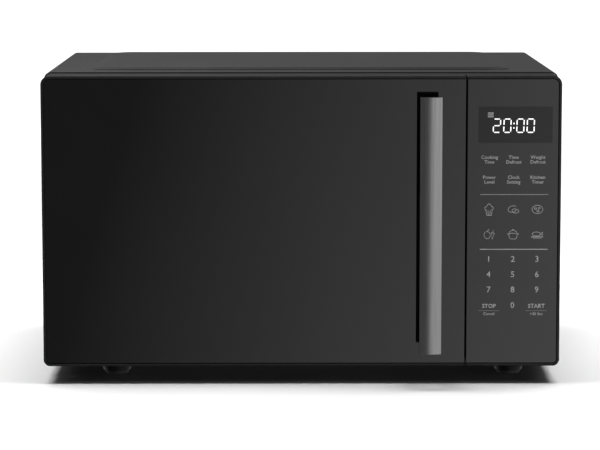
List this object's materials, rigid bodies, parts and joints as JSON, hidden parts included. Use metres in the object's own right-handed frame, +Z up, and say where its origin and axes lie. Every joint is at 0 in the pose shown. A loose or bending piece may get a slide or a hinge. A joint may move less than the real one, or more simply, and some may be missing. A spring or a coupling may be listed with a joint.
{
  "type": "countertop microwave oven",
  "caption": "Countertop microwave oven: full-height black glass door with a vertical bar handle, touch control panel at the right, turntable cavity inside.",
  "frame": {"origin": "on the surface the oven stands on, under the middle of its overall width and depth", "axes": "+X to the right seen from the front, +Y to the back, +Z up; the door faces -Y"},
  "size_m": [0.483, 0.4, 0.292],
  "materials": {
    "cabinet_paint": "satin dark grey paint",
    "bare_sheet": "zinc-coated sheet",
    "enamel": "light grey enamel",
    "black_plastic": "fine satin texture",
    "grey_plastic": "satin",
    "white_plastic": "satin",
    "rubber": "matte",
    "screw_steel": "plated",
    "black_glass": "polished, backed with opaque black",
    "clear_glass": "clear",
    "handle_steel": "brushed",
    "screen_steel": "black, perforated",
    "choke_steel": "light grey paint",
    "mica": "mica sheet",
    "aluminium": "plain",
    "magnetron_steel": "pressed",
    "circuit_board": "lacquered board",
    "ferrite": "ferrite and copper wire",
    "motor_steel": "stamped",
    "display": "numeric display",
    "spring_steel": "drawn wire"
  },
  "bodies": {
    "oven": {"base_plate": "bare_sheet", "feet": "black_plastic", "foot_pads": "rubber", "cabinet_cover": "cabinet_paint", "cover_screws": "screw_steel", "rear_panel": "cabinet_paint", "wall_spacer": "black_plastic", "cord_gland": "black_plastic", "front_frame": "enamel", "cavity_wrap": "enamel", "cavity_ceiling": "enamel", "cavity_back": "enamel", "waveguide": "bare_sheet", "waveguide_cover": "mica", "magnetron_body": "magnetron_steel", "magnetron_fins": "aluminium", "magnetron_filter_box": "magnetron_steel", "inverter_board": "circuit_board", "inverter_transformer": "ferrite", "inverter_heat_sink": "aluminium", "filter_board": "circuit_board", "fan_shroud": "black_plastic", "fan_motor": "motor_steel", "lamp_bulb": "clear_glass", "lamp_holder": "white_plastic", "thermal_cutouts": "black_plastic", "turntable_motor": "motor_steel", "upper_hinge": "bare_sheet", "lower_hinge": "bare_sheet", "latch_body": "white_plastic", "primary_switch": "grey_plastic", "secondary_switch": "grey_plastic", "monitor_switch": "grey_plastic", "panel_housing": "black_plastic", "panel_glass": "black_glass", "display_module": "display", "control_board": "circuit_board"},
    "door": {"door_frame": "black_plastic", "door_glass": "black_glass", "door_choke": "choke_steel", "door_screen": "screen_steel", "door_inner_cover": "black_plastic", "door_inner_window": "clear_glass", "handle_cover": "handle_steel", "handle_core": "black_plastic", "handle_screws": "screw_steel", "latch_spring": "spring_steel"},
    "latch_hooks": {"latch_hooks": "white_plastic"},
    "interlock_lever": {"interlock_lever": "grey_plastic"},
    "primary_plunger": {"primary_plunger": "black_plastic"},
    "secondary_plunger": {"secondary_plunger": "black_plastic"},
    "monitor_plunger": {"monitor_plunger": "black_plastic"},
    "drive_coupler": {"drive_coupler": "white_plastic"},
    "glass_tray": {"glass_tray": "clear_glass"},
    "roller_guide": {"roller_guide": "white_plastic"},
    "roller_1": {"roller_1": "white_plastic"},
    "roller_2": {"roller_2": "white_plastic"},
    "roller_3": {"roller_3": "white_plastic"},
    "fan_blade": {"fan_blade": "grey_plastic"}
  },
  "joints": [
    {"name": "door_hinge", "type": "hinge", "parent": "oven", "child": "door", "pos_m": [-0.232, -0.138, 0.153], "axis": [0, 0, -1], "range_deg": [0, 100]},
    {"name": "latch_lift", "type": "slide", "parent": "door", "child": "latch_hooks", "axis": [0, 0, 1], "range_m": [0, 0.005], "stiffness_N_per_m": 300, "springref_m": -0.004, "deforming": ["latch_spring"]},
    {"name": "interlock_rock", "type": "hinge", "parent": "oven", "child": "interlock_lever", "pos_m": [0.1445, -0.09635, 0.086], "axis": [-1, 0, 0], "range_deg": [0, 3.5]},
    {"name": "primary_slide", "type": "slide", "parent": "oven", "child": "primary_plunger", "axis": [0, -1, 0], "range_m": [0, 0.0015]},
    {"name": "secondary_slide", "type": "slide", "parent": "oven", "child": "secondary_plunger", "axis": [0, -1, 0], "range_m": [0, 0.0015]},
    {"name": "monitor_slide", "type": "slide", "parent": "oven", "child": "monitor_plunger", "axis": [0, 1, 0], "range_m": [0, 0.0015]},
    {"name": "turntable_spin", "type": "hinge", "parent": "oven", "child": "drive_coupler", "pos_m": [-0.0475, 0.0275, 0.055], "axis": [0, 0, 1], "continuous": true},
    {"name": "tray_lift", "type": "slide", "parent": "drive_coupler", "child": "glass_tray", "axis": [0, 0, 1], "range_m": [0, 0.03]},
    {"name": "guide_spin", "type": "hinge", "parent": "oven", "child": "roller_guide", "pos_m": [-0.0475, 0.0275, 0.0533], "axis": [0, 0, 1], "continuous": true},
    {"name": "roller_1_spin", "type": "hinge", "parent": "roller_guide", "child": "roller_1", "pos_m": [0.0525, 0.0275, 0.0533], "axis": [1, 0, 0], "continuous": true},
    {"name": "roller_2_spin", "type": "hinge", "parent": "roller_guide", "child": "roller_2", "pos_m": [-0.0975, 0.1141, 0.0533], "axis": [-0.5, 0.866, 0], "continuous": true},
    {"name": "roller_3_spin", "type": "hinge", "parent": "roller_guide", "child": "roller_3", "pos_m": [-0.0975, -0.0591, 0.0533], "axis": [-0.5, -0.866, 0], "continuous": true},
    {"name": "fan_spin", "type": "hinge", "parent": "oven", "child": "fan_blade", "pos_m": [0.18, 0.1795, 0.215], "axis": [0, 1, 0], "continuous": true}
  ],
  "couplings": [
    {"joint": "interlock_rock", "follows": "door_hinge", "ratio": 0.034},
    {"joint": "primary_slide", "follows": "door_hinge", "m_per_rad": 0.0008021},
    {"joint": "secondary_slide", "follows": "door_hinge", "m_per_rad": 0.0008021},
    {"joint": "monitor_slide", "follows": "door_hinge", "m_per_rad": 0.0008021},
    {"joint": "guide_spin", "follows": "turntable_spin", "ratio": 0.5},
    {"joint": "roller_1_spin", "follows": "turntable_spin", "ratio": -7.1429},
    {"joint": "roller_2_spin", "follows": "turntable_spin", "ratio": -7.1429},
    {"joint": "roller_3_spin", "follows": "turntable_spin", "ratio": -7.1429}
  ]
}
